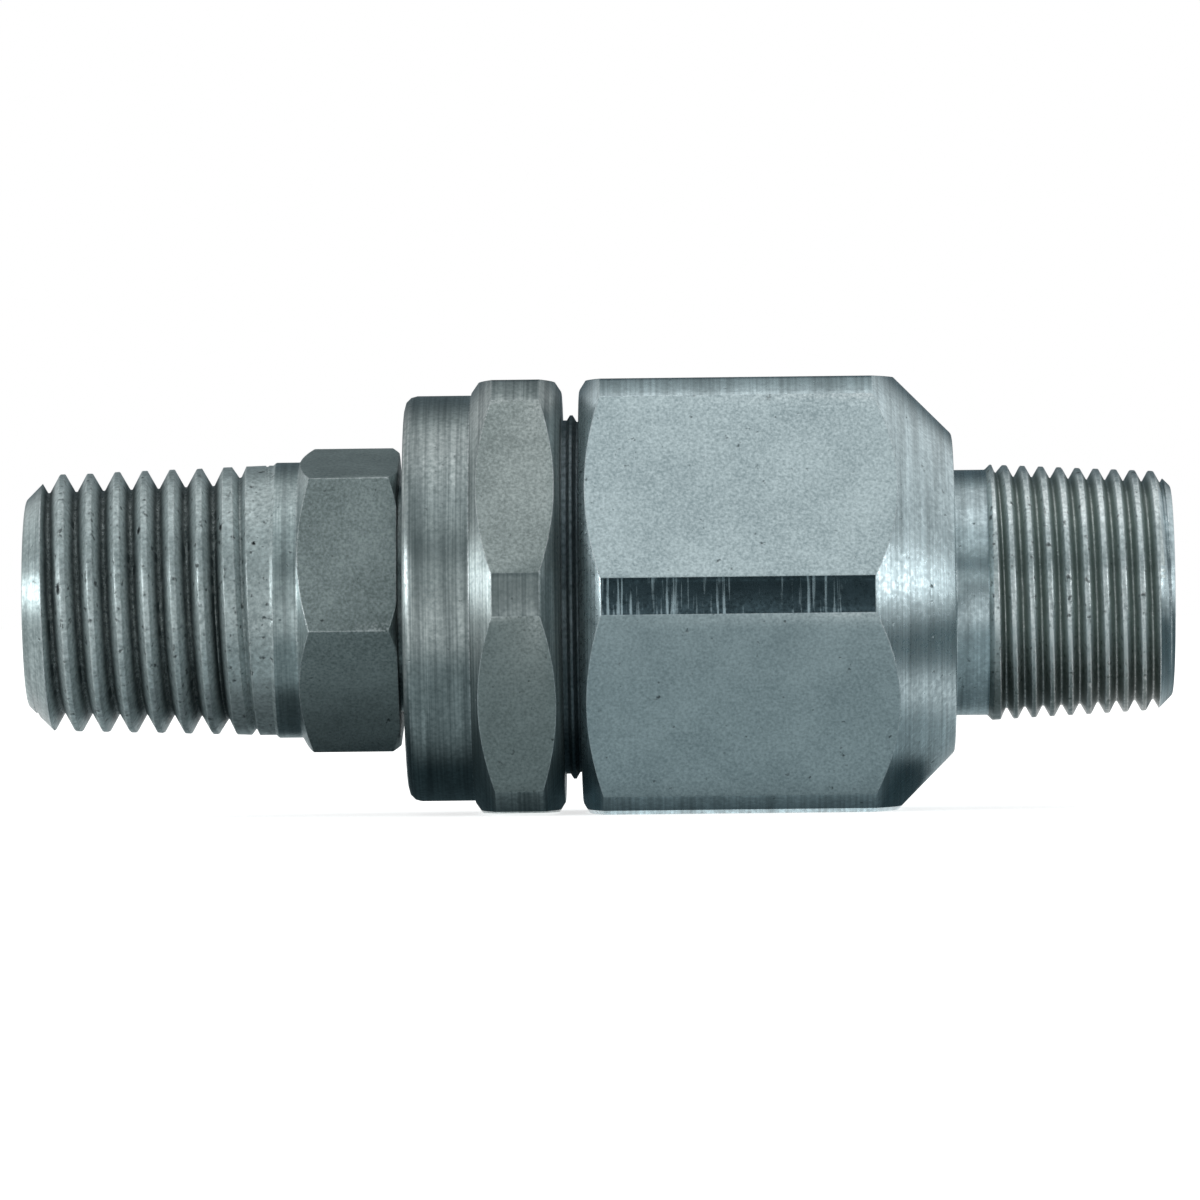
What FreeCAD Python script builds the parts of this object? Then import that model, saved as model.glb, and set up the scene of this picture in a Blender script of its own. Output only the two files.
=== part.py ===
import FreeCAD, Part

import math
import os

import Sketcher
from FreeCAD import Placement, Rotation, Vector

# In-line live swivel, in millimetres.
# The swivel axis is X. The origin is the centre of the stem's open end, +X runs towards the
# body's open end, and +Z is up with the fitting lying on one flat of the body's hexagon.

doc = FreeCAD.newDocument("swivel_fitting")
sheet = doc.addObject("Spreadsheet::Sheet", "Sizes")

# Driving sizes: lengths in millimetres, angles in degrees
SIZES = {
    # Flow way and the stem's plain shaft, worked outwards from the bore
    "flow_bore_radius": 3.175,
    "shaft_wall": 2.625,
    "running_clearance": 0.05,
    # Two rows of loose balls in grooves round the shaft
    "ball_diameter": 3.175,
    "ball_clearance": 0.03,
    "ball_gap": 0.1,
    "ball_row_spacing": 3.9,
    "race_gap": 0.15,
    "race_wall": 0.8375,
    "end_race_width": 2.1,
    "fit_clearance": 0.02,
    # Stem: tapered pipe thread, neck and hexagon
    "stem_thread_pitch": 1.4111,
    "stem_thread_depth": 0.93,
    "stem_thread_root_flat": 0.1,
    "stem_thread_growth": 0.03125,
    "stem_thread_radius": 6.56,
    "stem_thread_length": 12.75,
    "stem_thread_lead": 0.8087,
    "stem_thread_run_out": 0.8,
    "stem_end_chamfer": 1.3,
    "stem_neck_step": 0.13,
    "stem_neck_length": 1.36,
    "stem_hex_margin": 0.0553,
    "stem_hex_length": 5.09,
    "stem_hex_chamfer_angle": 40.0,
    "stem_hex_back_chamfer": 0.2,
    "stem_hex_turn": 131.3,
    # Pressure seal on the stem's tail
    "seal_land": 0.75,
    "seal_gland_depth": 1.42,
    "seal_width": 1.85,
    "backup_width": 1.0,
    "seal_side_clearance": 0.05,
    "tail_land": 0.6,
    "tail_chamfer": 0.3,
    "tail_end_gap": 0.4,
    # Gland nut: collar, hexagon and screwed shank
    "stem_nut_gap": 0.34,
    "nut_collar_length": 3.43,
    "nut_collar_step": 0.62,
    "nut_collar_rounding": 0.45,
    "nut_hex_length": 4.71,
    "nut_hex_shoulder": 1.69,
    "nut_hex_face_step": 0.5,
    "nut_corner_cut": 0.582,
    "nut_hex_turn": 59.3,
    "nut_shank_length": 5.9,
    "nut_shank_over_race": 1.04,
    "nut_shank_chamfer": 0.5,
    "nut_bore_chamfer": 0.3,
    "hex_chamfer_angle": 35.0,
    # Dust seal in the nut's bore
    "dust_seal_inset": 1.1,
    "dust_seal_width": 1.6,
    "dust_seal_depth": 1.4,
    # Body: hexagon, cone, neck and tapered thread
    "nut_body_gap": 0.72,
    "body_wall": 1.7025,
    "body_corner_cut": 0.502,
    "body_hex_face_step": 0.51,
    "body_bore_chamfer": 0.4,
    "thread_relief": 0.3,
    "body_end_wall": 1.19,
    "body_shoulder_step": 1.86,
    "body_neck_length": 1.7,
    "body_neck_step": 0.26,
    "body_thread_pitch": 0.9407,
    "body_thread_depth": 0.56,
    "body_thread_root_flat": 0.09,
    "body_thread_growth": 0.05,
    "body_thread_radius": 6.1125,
    "body_thread_length": 9.52,
    "body_thread_lead": 0.6535,
    "body_thread_run_out": 0.68,
    "body_end_chamfer": 0.78,
}
for row, (alias, value) in enumerate(SIZES.items(), start=1):
    sheet.set(f"A{row}", alias)
    sheet.set(f"B{row}", str(value))
    sheet.setAlias(f"B{row}", alias)
doc.recompute()


def size(name):
    """The expression for one driving size."""
    return f"Sizes.{name}"


def add(*terms):
    """The expression for a sum, whose terms are names of sizes or expressions."""
    return "(" + " + ".join(size(term) if term in SIZES else term for term in terms) + ")"


def less(first, *terms):
    """The expression for a size or expression with others taken from it."""
    return "(" + " - ".join(size(term) if term in SIZES else term for term in (first, *terms)) + ")"


# Radii, from the flow bore outwards
SHAFT_RADIUS = add("flow_bore_radius", "shaft_wall")
RUNNING_BORE = add(SHAFT_RADIUS, "running_clearance")
RACE_BORE = add(SHAFT_RADIUS, "race_gap")
PITCH_RADIUS = f"({SHAFT_RADIUS} + Sizes.race_gap / 2)"
BALL_RADIUS = "(Sizes.ball_diameter / 2)"
BALL_TRACK_RADIUS = add(BALL_RADIUS, "ball_clearance")
RACE_RADIUS = add(PITCH_RADIUS, BALL_RADIUS, "race_wall")
RACE_SEAT_RADIUS = add(RACE_RADIUS, "fit_clearance")
SHANK_RADIUS = add(RACE_SEAT_RADIUS, "nut_shank_over_race")
BODY_THREAD_BORE = add(SHANK_RADIUS, "running_clearance")
BODY_FLAT_RADIUS = add(BODY_THREAD_BORE, "body_wall")
NUT_FLAT_RADIUS = add(SHANK_RADIUS, "nut_hex_shoulder")
NUT_COLLAR_RADIUS = less(NUT_FLAT_RADIUS, "nut_collar_step")
SEAL_FLOOR_RADIUS = less(RUNNING_BORE, "seal_gland_depth")
DUST_SEAL_RADIUS = add(RUNNING_BORE, "dust_seal_depth")

# Places along the axis, from the stem's open end
STEM_THREAD_END = add("stem_thread_length")
STEM_HEX_START = add(STEM_THREAD_END, "stem_neck_length")
STEM_HEX_END = add(STEM_HEX_START, "stem_hex_length")
NUT_FACE = add(STEM_HEX_END, "stem_nut_gap")
NUT_HEX_START = add(NUT_FACE, "nut_collar_length")
NUT_HEX_END = add(NUT_HEX_START, "nut_hex_length")
NUT_END = add(NUT_HEX_END, "nut_shank_length")
NUT_SIDE_ROW = add(NUT_END, "end_race_width")
BODY_SIDE_ROW = add(NUT_SIDE_ROW, "ball_row_spacing")
RACES_END = add(BODY_SIDE_ROW, "end_race_width")
BACKUP_START = add(RACES_END, "seal_land", "seal_side_clearance")
BACKUP_END = add(BACKUP_START, "backup_width")
SEAL_START = add(BACKUP_END, "seal_side_clearance")
SEAL_END = add(SEAL_START, "seal_width")
SEAL_GROOVE_START = less(BACKUP_START, "seal_side_clearance")
SEAL_GROOVE_END = add(SEAL_END, "seal_side_clearance")
TAIL_END = add(SEAL_GROOVE_END, "tail_land")
SEAL_BORE_END = add(TAIL_END, "tail_end_gap")
BODY_FACE = add(NUT_HEX_END, "nut_body_gap")
BODY_SHOULDER = add(SEAL_BORE_END, "body_end_wall")
BODY_THREAD_START = add(BODY_SHOULDER, "body_neck_length")
BODY_END = add(BODY_THREAD_START, "body_thread_length")

# How far a lathe cut and a thread cutter run past the metal that they take away
PAST = "1"
THREAD_FLANK_EXTRA = "0.06"
THREAD_CUT_EXTRA = "0.5"

# Where round the axis a thread starts and ends, in degrees, opposite the joins of the turned
# faces, and the least that a thread takes away
THREAD_START_ANGLE = 180
LEAST_THREAD_VOLUME = 20

# How close two lengths are when they count as the same
SAME_LENGTH = 1e-4

X_AXIS = Vector(1, 0, 0)


def corner_radius(flat_radius):
    """The radius to a hexagon's corners, from the radius to its flats."""
    return f"({flat_radius} / cos(30 deg))"


def origin_plane(body, role):
    """One of a body's own origin planes."""
    return next(plane for plane in body.Origin.OriginFeatures if plane.Role == role)


def new_sketch(body, name, role):
    """An empty sketch on one of the body's origin planes."""
    sketch = body.newObject("Sketcher::SketchObject", f"{body.Name}_{name}")
    sketch.AttachmentSupport = [(origin_plane(body, role), "")]
    sketch.MapMode = "FlatFace"
    return sketch


def place_point(sketch, geometry, point, label, across, up):
    """Ties a point of the sketch to its two places, given as expressions."""
    for axis, expression in (("DistanceX", across), ("DistanceY", up)):
        value = float(sketch.evalExpression(expression))
        index = sketch.addConstraint(Sketcher.Constraint(axis, -1, 1, geometry, point, value))
        sketch.renameConstraint(index, f"{label}_{axis[-1]}")
        sketch.setExpression(f"Constraints.{label}_{axis[-1]}", expression)


def draw_outline(sketch, points):
    """A closed outline of straight lines through points given as pairs of expressions."""
    places = [Vector(*(float(sketch.evalExpression(value)) for value in pair)) for pair in points]
    following = places[1:] + places[:1]
    for start, end in zip(places, following):
        sketch.addGeometry(Part.LineSegment(start, end), False)
    for line in range(len(points)):
        after = (line + 1) % len(points)
        sketch.addConstraint(Sketcher.Constraint("Coincident", line, 2, after, 1))
    for line, (across, up) in enumerate(points):
        place_point(sketch, line, 1, f"corner_{line}", across, up)


def outline(body, name, points):
    """A sketch of half a lengthwise section, with the swivel axis across and the radius up."""
    sketch = new_sketch(body, name, "XY_Plane")
    draw_outline(sketch, points)
    return sketch


def turn_off(body, name, points):
    """Cuts away what a lathe tool takes as the outline goes once round the axis."""
    sketch = outline(body, f"{name}_outline", points)
    groove = body.newObject("PartDesign::Groove", f"{body.Name}_{name}")
    groove.Profile = sketch
    groove.ReferenceAxis = (sketch, ["H_Axis"])
    groove.Angle = 360
    body.Tip = groove
    return groove


def cut_ball_tracks(body, rows):
    """Cuts one round-bottomed ball track in the body at each row."""
    sketch = new_sketch(body, "track_outline", "XY_Plane")
    for index, row in enumerate(rows):
        centre = Vector(float(sketch.evalExpression(row)), float(sketch.evalExpression(PITCH_RADIUS)), 0)
        radius = float(sketch.evalExpression(BALL_TRACK_RADIUS))
        sketch.addGeometry(Part.Circle(centre, Vector(0, 0, 1), radius), False)
        place_point(sketch, index, 3, f"track_{index}", row, PITCH_RADIUS)
        constraint = sketch.addConstraint(Sketcher.Constraint("Radius", index, radius))
        sketch.renameConstraint(constraint, f"track_{index}_radius")
        sketch.setExpression(f"Constraints.track_{index}_radius", BALL_TRACK_RADIUS)
    groove = body.newObject("PartDesign::Groove", f"{body.Name}_tracks")
    groove.Profile = sketch
    groove.ReferenceAxis = (sketch, ["H_Axis"])
    groove.Angle = 360
    body.Tip = groove


def hexagon_bar(body, flat_radius, start, end):
    """A length of hexagon bar with a flat underneath and corners at its two sides."""
    sketch = new_sketch(body, "bar_outline", "YZ_Plane")
    corner = corner_radius(flat_radius)
    draw_outline(sketch, [(f"{corner} * cos({60 * step} deg)", f"{corner} * sin({60 * step} deg)")
                          for step in range(6)])
    sketch.setExpression("AttachmentOffset.Base.z", start)
    bar = body.newObject("PartDesign::Pad", f"{body.Name}_bar")
    bar.Profile = sketch
    bar.setExpression("Length", less(end, start))
    body.Tip = bar


def turn_bar(body, flat_radius, start, end, outside, inside):
    """Turns a length of hexagon bar down to its outside, then bores it, each from end to end.

    outside runs along the surface and inside along the bore, as (place, radius) pairs. The
    outside is turned no further than the bar, so a thread at its end is left alone.
    """
    hexagon_bar(body, flat_radius, start, end)
    clear = add(corner_radius(flat_radius), PAST)
    turn_off(body, "outside", [*outside, (end, clear), (start, clear)])
    (first, first_radius), (last, last_radius) = inside[0], inside[-1]
    turn_off(body, "bore", [(less(first, PAST), "0"), (less(first, PAST), first_radius), *inside,
                            (add(last, PAST), last_radius), (add(last, PAST), "0")])


def turned(body, name, points):
    """Adds what an outline makes as it goes once round the swivel axis."""
    sketch = outline(body, f"{name}_outline", points)
    revolution = body.newObject("PartDesign::Revolution", f"{body.Name}_{name}")
    revolution.Profile = sketch
    revolution.ReferenceAxis = (sketch, ["H_Axis"])
    revolution.Angle = 360
    body.Tip = revolution
    return revolution


def turned_ring(name, start, end, inner, outer, rounding=None):
    """A plain ring between two places, with its four edges rounded where a rounding is given."""
    body = doc.addObject("PartDesign::Body", name)
    ring = turned(body, "ring", [(start, inner), (end, inner), (end, outer), (start, outer)])
    if rounding:
        doc.recompute()
        edges = [f"Edge{number}" for number, edge in enumerate(ring.Shape.Edges, start=1)
                 if isinstance(edge.Curve, Part.Circle)]
        round_edges(body, ring, edges, rounding)
    return body


def round_edges(body, feature, edges, radius):
    """Rounds the named edges of a feature."""
    fillet = body.newObject("PartDesign::Fillet", f"{body.Name}_rounding")
    fillet.Base = (feature, edges)
    fillet.setExpression("Radius", radius)
    body.Tip = fillet


def circular_edges(feature, place, radius):
    """The names of a feature's circular edges at a place along the axis, with one radius."""
    place = float(sheet.evalExpression(place))
    radius = float(sheet.evalExpression(radius))
    return [f"Edge{number}" for number, edge in enumerate(feature.Shape.Edges, start=1)
            if isinstance(edge.Curve, Part.Circle)
            and abs(edge.Curve.Center.x - place) < SAME_LENGTH
            and abs(edge.Curve.Radius - radius) < SAME_LENGTH]


def cut_thread(turned_piece, name, start, inward, length):
    """The named piece: a turned one with a right-hand sixty-degree thread cut into its end.

    The thread starts at a place off the open end and runs inward with the taper, by the whole
    turns that the length holds. inward is the turn that brings +X to that direction. Above the
    crests the cut's flanks go straight up, so that neighbouring turns stay apart.
    """
    pitch, depth, lead, growth = (size(f"{name}_thread_{what}")
                                  for what in ("pitch", "depth", "lead", "growth"))
    root_radius = less(f"{name}_thread_radius", f"{growth} * {lead}", depth)
    half_root = f"(Sizes.{name}_thread_root_flat / 2)"
    half_mouth = f"({half_root} + ({depth} + {THREAD_FLANK_EXTRA}) * tan(30 deg))"
    flank_top = add(root_radius, depth, THREAD_FLANK_EXTRA)
    cut_top = add(root_radius, depth, THREAD_CUT_EXTRA)
    facing = Rotation(X_AXIS, THREAD_START_ANGLE) * inward

    tooth = doc.addObject("Sketcher::SketchObject", f"{name}_thread_tooth")
    draw_outline(tooth, [(less("0", half_mouth), cut_top), (less("0", half_mouth), flank_top),
                         (less("0", half_root), root_radius), (half_root, root_radius),
                         (half_mouth, flank_top), (half_mouth, cut_top)])
    tooth.Placement = Placement(Vector(), facing)

    path = doc.addObject("Part::Helix", f"{name}_thread_path")
    path.LocalCoord = "Right-handed"
    path.setExpression("Pitch", pitch)
    path.setExpression("Height", f"{pitch} * floor({length} / {pitch})")
    path.setExpression("Radius", root_radius)
    path.setExpression("Angle", f"atan({growth})")
    path.Placement = Placement(Vector(), facing * Rotation(Vector(0, 1, 0), Vector(0, 0, 1), X_AXIS))
    for item in (tooth, path):
        item.setExpression("Placement.Base.x", start)

    cut = doc.addObject("Part::Sweep", f"{name}_thread_cut")
    cut.Sections = [tooth]
    cut.Spine = (path, [])
    cut.Solid = True
    cut.Frenet = True
    threaded = doc.addObject("Part::Cut", name)
    threaded.Base = turned_piece
    threaded.Tool = cut
    doc.recompute()
    if turned_piece.Shape.Volume - threaded.Shape.Volume < LEAST_THREAD_VOLUME:
        raise RuntimeError(f"{name} has no thread")
    return threaded


# Stem: turned from hexagon bar. The pipe thread tapers towards the open end, the hexagon takes
# a spanner, and the long shaft behind it carries the ball tracks and the pressure seal's groove.
STEM_CREST_END = add("stem_thread_radius", "Sizes.stem_thread_growth * Sizes.stem_thread_length")
STEM_NECK_RADIUS = add(STEM_CREST_END, "stem_neck_step")
STEM_FLAT_RADIUS = add(STEM_NECK_RADIUS, "stem_hex_margin")
STEM_CORNER_RADIUS = corner_radius(STEM_FLAT_RADIUS)
STEM_CREST_AT_CHAMFER = add("stem_thread_radius", "Sizes.stem_thread_growth * Sizes.stem_end_chamfer")
STEM_HEX_CHAMFER = f"(({STEM_CORNER_RADIUS} - {STEM_NECK_RADIUS}) * tan(Sizes.stem_hex_chamfer_angle))"
stem_turned = doc.addObject("PartDesign::Body", "stem_turned")
turn_bar(
    stem_turned, STEM_FLAT_RADIUS, "0", TAIL_END,
    outside=[
        ("0", less(STEM_CREST_AT_CHAMFER, "stem_end_chamfer")),
        (add("stem_end_chamfer"), STEM_CREST_AT_CHAMFER),
        (STEM_THREAD_END, STEM_CREST_END),
        (add(STEM_THREAD_END, "stem_neck_step"), STEM_NECK_RADIUS),
        (STEM_HEX_START, STEM_NECK_RADIUS),
        (add(STEM_HEX_START, STEM_HEX_CHAMFER), STEM_CORNER_RADIUS),
        (less(STEM_HEX_END, "stem_hex_back_chamfer"), STEM_CORNER_RADIUS),
        (STEM_HEX_END, less(STEM_CORNER_RADIUS, "stem_hex_back_chamfer")),
        (STEM_HEX_END, SHAFT_RADIUS),
        (SEAL_GROOVE_START, SHAFT_RADIUS),
        (SEAL_GROOVE_START, SEAL_FLOOR_RADIUS),
        (SEAL_GROOVE_END, SEAL_FLOOR_RADIUS),
        (SEAL_GROOVE_END, SHAFT_RADIUS),
        (less(TAIL_END, "tail_chamfer"), SHAFT_RADIUS),
        (TAIL_END, less(SHAFT_RADIUS, "tail_chamfer")),
    ],
    inside=[("0", add("flow_bore_radius")), (TAIL_END, add("flow_bore_radius"))],
)
cut_ball_tracks(stem_turned, [NUT_SIDE_ROW, BODY_SIDE_ROW])
stem = cut_thread(stem_turned, "stem", less("0", "stem_thread_lead"), Rotation(),
                  less(add("stem_thread_lead", STEM_THREAD_END), "stem_thread_run_out"))
stem.Placement = Placement(Vector(), Rotation(X_AXIS, SIZES["stem_hex_turn"]))
stem.setExpression("Placement.Rotation.Angle", size("stem_hex_turn"))

# Gland nut: turned from hexagon bar. Its shank screws into the body and clamps the races, and
# its bore is the bearing that keeps the stem in line.
NUT_CORNER_RADIUS = less(corner_radius(NUT_FLAT_RADIUS), "nut_corner_cut")
NUT_HEX_FACE_RADIUS = less(NUT_FLAT_RADIUS, "nut_hex_face_step")
NUT_HEX_CHAMFER = f"(({NUT_CORNER_RADIUS} - {NUT_HEX_FACE_RADIUS}) * tan(Sizes.hex_chamfer_angle))"
DUST_GROOVE_START = add(NUT_FACE, "dust_seal_inset")
DUST_SEAL_START = add(DUST_GROOVE_START, "seal_side_clearance")
DUST_SEAL_END = add(DUST_SEAL_START, "dust_seal_width")
DUST_GROOVE_END = add(DUST_SEAL_END, "seal_side_clearance")
gland_nut = doc.addObject("PartDesign::Body", "gland_nut")
turn_bar(
    gland_nut, NUT_FLAT_RADIUS, NUT_FACE, NUT_END,
    outside=[
        (NUT_FACE, NUT_COLLAR_RADIUS),
        (NUT_HEX_START, NUT_COLLAR_RADIUS),
        (NUT_HEX_START, NUT_HEX_FACE_RADIUS),
        (add(NUT_HEX_START, NUT_HEX_CHAMFER), NUT_CORNER_RADIUS),
        (less(NUT_HEX_END, NUT_HEX_CHAMFER), NUT_CORNER_RADIUS),
        (NUT_HEX_END, NUT_HEX_FACE_RADIUS),
        (NUT_HEX_END, SHANK_RADIUS),
        (less(NUT_END, "nut_shank_chamfer"), SHANK_RADIUS),
        (NUT_END, less(SHANK_RADIUS, "nut_shank_chamfer")),
    ],
    inside=[
        (NUT_FACE, add(RUNNING_BORE, "nut_bore_chamfer")),
        (add(NUT_FACE, "nut_bore_chamfer"), RUNNING_BORE),
        (DUST_GROOVE_START, RUNNING_BORE),
        (DUST_GROOVE_START, DUST_SEAL_RADIUS),
        (DUST_GROOVE_END, DUST_SEAL_RADIUS),
        (DUST_GROOVE_END, RUNNING_BORE),
        (NUT_END, RUNNING_BORE),
    ],
)
doc.recompute()
nut_turned = gland_nut.Tip
round_edges(gland_nut, nut_turned, circular_edges(nut_turned, NUT_FACE, NUT_COLLAR_RADIUS),
            size("nut_collar_rounding"))
gland_nut.Placement = Placement(Vector(), Rotation(X_AXIS, SIZES["nut_hex_turn"]))
gland_nut.setExpression("Placement.Rotation.Angle", size("nut_hex_turn"))

# Body: turned from hexagon bar and bored from the nut's end for the nut's thread, the races and
# the seal. The hexagon ends in a cone, a shoulder and a neck, and the tapered thread is the outlet.
BODY_CORNER_RADIUS = less(corner_radius(BODY_FLAT_RADIUS), "body_corner_cut")
BODY_HEX_FACE_RADIUS = less(BODY_FLAT_RADIUS, "body_hex_face_step")
BODY_HEX_CHAMFER = f"(({BODY_CORNER_RADIUS} - {BODY_HEX_FACE_RADIUS}) * tan(Sizes.hex_chamfer_angle))"
BODY_CREST_AT_CHAMFER = add("body_thread_radius", "Sizes.body_thread_growth * Sizes.body_end_chamfer")
BODY_CREST_END = add("body_thread_radius",
                     "Sizes.body_thread_growth * (Sizes.body_thread_length - Sizes.body_neck_step)")
BODY_NECK_RADIUS = less(BODY_CREST_END, "body_neck_step")
BODY_SHOULDER_RADIUS = add(BODY_NECK_RADIUS, "body_shoulder_step")
BODY_CONE_START = less(BODY_SHOULDER, f"({BODY_CORNER_RADIUS} - {BODY_SHOULDER_RADIUS})")
body_turned = doc.addObject("PartDesign::Body", "body_turned")
turn_bar(
    body_turned, BODY_FLAT_RADIUS, BODY_FACE, BODY_END,
    outside=[
        (BODY_FACE, BODY_HEX_FACE_RADIUS),
        (add(BODY_FACE, BODY_HEX_CHAMFER), BODY_CORNER_RADIUS),
        (BODY_CONE_START, BODY_CORNER_RADIUS),
        (BODY_SHOULDER, BODY_SHOULDER_RADIUS),
        (BODY_SHOULDER, BODY_NECK_RADIUS),
        (BODY_THREAD_START, BODY_NECK_RADIUS),
        (add(BODY_THREAD_START, "body_neck_step"), BODY_CREST_END),
        (less(BODY_END, "body_end_chamfer"), BODY_CREST_AT_CHAMFER),
        (BODY_END, less(BODY_CREST_AT_CHAMFER, "body_end_chamfer")),
    ],
    inside=[
        (BODY_FACE, add(BODY_THREAD_BORE, "body_bore_chamfer")),
        (add(BODY_FACE, "body_bore_chamfer"), BODY_THREAD_BORE),
        (add(NUT_END, "thread_relief"), BODY_THREAD_BORE),
        (add(NUT_END, "thread_relief"), RACE_SEAT_RADIUS),
        (RACES_END, RACE_SEAT_RADIUS),
        (RACES_END, RUNNING_BORE),
        (SEAL_BORE_END, RUNNING_BORE),
        (SEAL_BORE_END, add("flow_bore_radius")),
        (BODY_END, add("flow_bore_radius")),
    ],
)
body = cut_thread(body_turned, "body", add(BODY_END, "body_thread_lead"),
                  Rotation(Vector(0, 1, 0), 180),
                  less(add("body_thread_lead", "body_thread_length"), "body_thread_run_out"))

# Races: three hardened rings stacked in the body, which close over the balls from both sides
# and are clamped between the body's shoulder and the end of the nut.
race_places = {
    "race_nut_side": (NUT_END, NUT_SIDE_ROW, [NUT_SIDE_ROW]),
    "race_middle": (NUT_SIDE_ROW, BODY_SIDE_ROW, [NUT_SIDE_ROW, BODY_SIDE_ROW]),
    "race_body_side": (BODY_SIDE_ROW, RACES_END, [BODY_SIDE_ROW]),
}
races = []
for name, (start, end, rows) in race_places.items():
    race = turned_ring(name, start, end, RACE_BORE, RACE_RADIUS)
    cut_ball_tracks(race, rows)
    races.append(race)

# Balls: two full rows of loose bearing balls. The second row stands half a ball on from the first.
pitch_radius = float(sheet.evalExpression(PITCH_RADIUS))
ball_pitch = SIZES["ball_diameter"] + SIZES["ball_gap"]
ball_count = int(2 * math.pi * pitch_radius / ball_pitch)
balls = []
for row_name, row, offset in (("nut_side", NUT_SIDE_ROW, 0), ("body_side", BODY_SIDE_ROW, 0.5)):
    for number in range(ball_count):
        turn = (number + offset) * 360 / ball_count
        ball = doc.addObject("Part::Sphere", f"ball_{row_name}_{number + 1:02d}")
        ball.setExpression("Radius", BALL_RADIUS)
        ball.setExpression("Placement.Base.x", row)
        ball.setExpression("Placement.Base.y", f"{PITCH_RADIUS} * cos({turn} deg)")
        ball.setExpression("Placement.Base.z", f"{PITCH_RADIUS} * sin({turn} deg)")
        balls.append(ball)

# Seals, drawn squeezed as they lie in their grooves: the pressure seal with its stiff backup ring
# on the side away from the pressure, and the dust seal in the nut's bore.
ROUND_SECTION = 0.4
pressure_seal = turned_ring(
    "pressure_seal", SEAL_START, SEAL_END, add(SEAL_FLOOR_RADIUS, "fit_clearance"),
    less(RUNNING_BORE, "fit_clearance"), rounding=f"{ROUND_SECTION} * Sizes.seal_gland_depth")
backup_ring = turned_ring(
    "backup_ring", BACKUP_START, BACKUP_END, add(SEAL_FLOOR_RADIUS, "fit_clearance"),
    less(RUNNING_BORE, "fit_clearance"))
dust_seal = turned_ring(
    "dust_seal", DUST_SEAL_START, DUST_SEAL_END, add(SHAFT_RADIUS, "fit_clearance"),
    less(DUST_SEAL_RADIUS, "fit_clearance"), rounding=f"{ROUND_SECTION} * Sizes.dust_seal_depth")

# Every piece, each with its own label
pieces = [stem, gland_nut, body, *races, *balls, pressure_seal, backup_ring, dust_seal]
for piece in pieces:
    piece.Label = piece.Name
doc.recompute()

for item in doc.Objects:
    if "Invalid" in item.State or "Error" in item.State:
        raise RuntimeError(f"{item.Name} is {item.State}")
for piece in pieces:
    if piece.Shape.isNull() or not piece.Shape.isValid() or len(piece.Shape.Solids) != 1:
        raise RuntimeError(f"{piece.Label} is not one sound solid")

os.makedirs("parts", exist_ok=True)
for piece in pieces:
    piece.Shape.exportStep(f"parts/{piece.Label}.step")
    print(f"{piece.Label}: {piece.Shape.Volume:.2f} mm3")
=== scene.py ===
import math

import bmesh
import bpy
from mathutils import Matrix, Vector, noise


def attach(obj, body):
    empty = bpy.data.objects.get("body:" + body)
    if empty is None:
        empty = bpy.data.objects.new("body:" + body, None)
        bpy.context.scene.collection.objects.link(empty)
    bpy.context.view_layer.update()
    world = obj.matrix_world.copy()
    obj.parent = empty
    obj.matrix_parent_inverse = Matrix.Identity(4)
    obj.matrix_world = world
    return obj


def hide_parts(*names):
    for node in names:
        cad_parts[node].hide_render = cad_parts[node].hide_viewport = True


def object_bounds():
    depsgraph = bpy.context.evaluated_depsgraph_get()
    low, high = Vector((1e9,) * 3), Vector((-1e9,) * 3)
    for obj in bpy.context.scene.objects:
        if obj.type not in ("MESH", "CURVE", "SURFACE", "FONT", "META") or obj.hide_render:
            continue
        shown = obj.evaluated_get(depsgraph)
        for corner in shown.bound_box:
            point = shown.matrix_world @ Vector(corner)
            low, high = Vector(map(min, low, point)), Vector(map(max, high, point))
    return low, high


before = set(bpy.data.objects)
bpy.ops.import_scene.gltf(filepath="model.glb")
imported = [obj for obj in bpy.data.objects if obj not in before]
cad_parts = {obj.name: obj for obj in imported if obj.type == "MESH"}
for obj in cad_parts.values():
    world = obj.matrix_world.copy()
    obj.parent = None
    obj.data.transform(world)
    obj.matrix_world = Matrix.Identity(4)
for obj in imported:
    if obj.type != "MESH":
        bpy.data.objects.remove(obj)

MM = 0.001
cad_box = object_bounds()


# The photographer's camera: a long lens half a metre off, level with the fitting and a little to
# the right of its middle, at which it looks, so the hexagons' faces show nearly without
# perspective. It leans by a fraction of a degree, so the fitting seems to rise to the right.
PHOTO_SPAN = 61.8 * MM
PHOTO_MIDDLE = 29.46 * MM
LENS_DISTANCE = 500 * MM
LENS_X = 35.0 * MM
LENS_Z = -0.17 * MM
LENS_LEAN = math.radians(0.65)
LENS_TURN = math.atan2(LENS_X - PHOTO_MIDDLE, LENS_DISTANCE)

lens = bpy.data.cameras.new("long_lens")
lens.lens = lens.sensor_width * LENS_DISTANCE / PHOTO_SPAN
lens.clip_start = 10 * MM
camera = bpy.data.objects.new("camera", lens)
camera.location = (LENS_X, -LENS_DISTANCE, LENS_Z)
camera.rotation_euler = (math.radians(90), LENS_LEAN, LENS_TURN)
bpy.context.scene.collection.objects.link(camera)
bpy.context.scene.camera = camera
bpy.context.scene.view_settings.view_transform = "Standard"


# The table: one sheet of matt white paper under the fitting, which lies on a flat of its body.
# White paper scatters all light alike, so it has no gloss of its own.
def linear(hex_code):
    """The linear colour of an sRGB hex code."""
    parts = [int(hex_code[start:start + 2], 16) / 255 for start in (1, 3, 5)]
    return [part / 12.92 if part <= 0.04045 else ((part + 0.055) / 1.055) ** 2.4 for part in parts] + [1]


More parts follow.
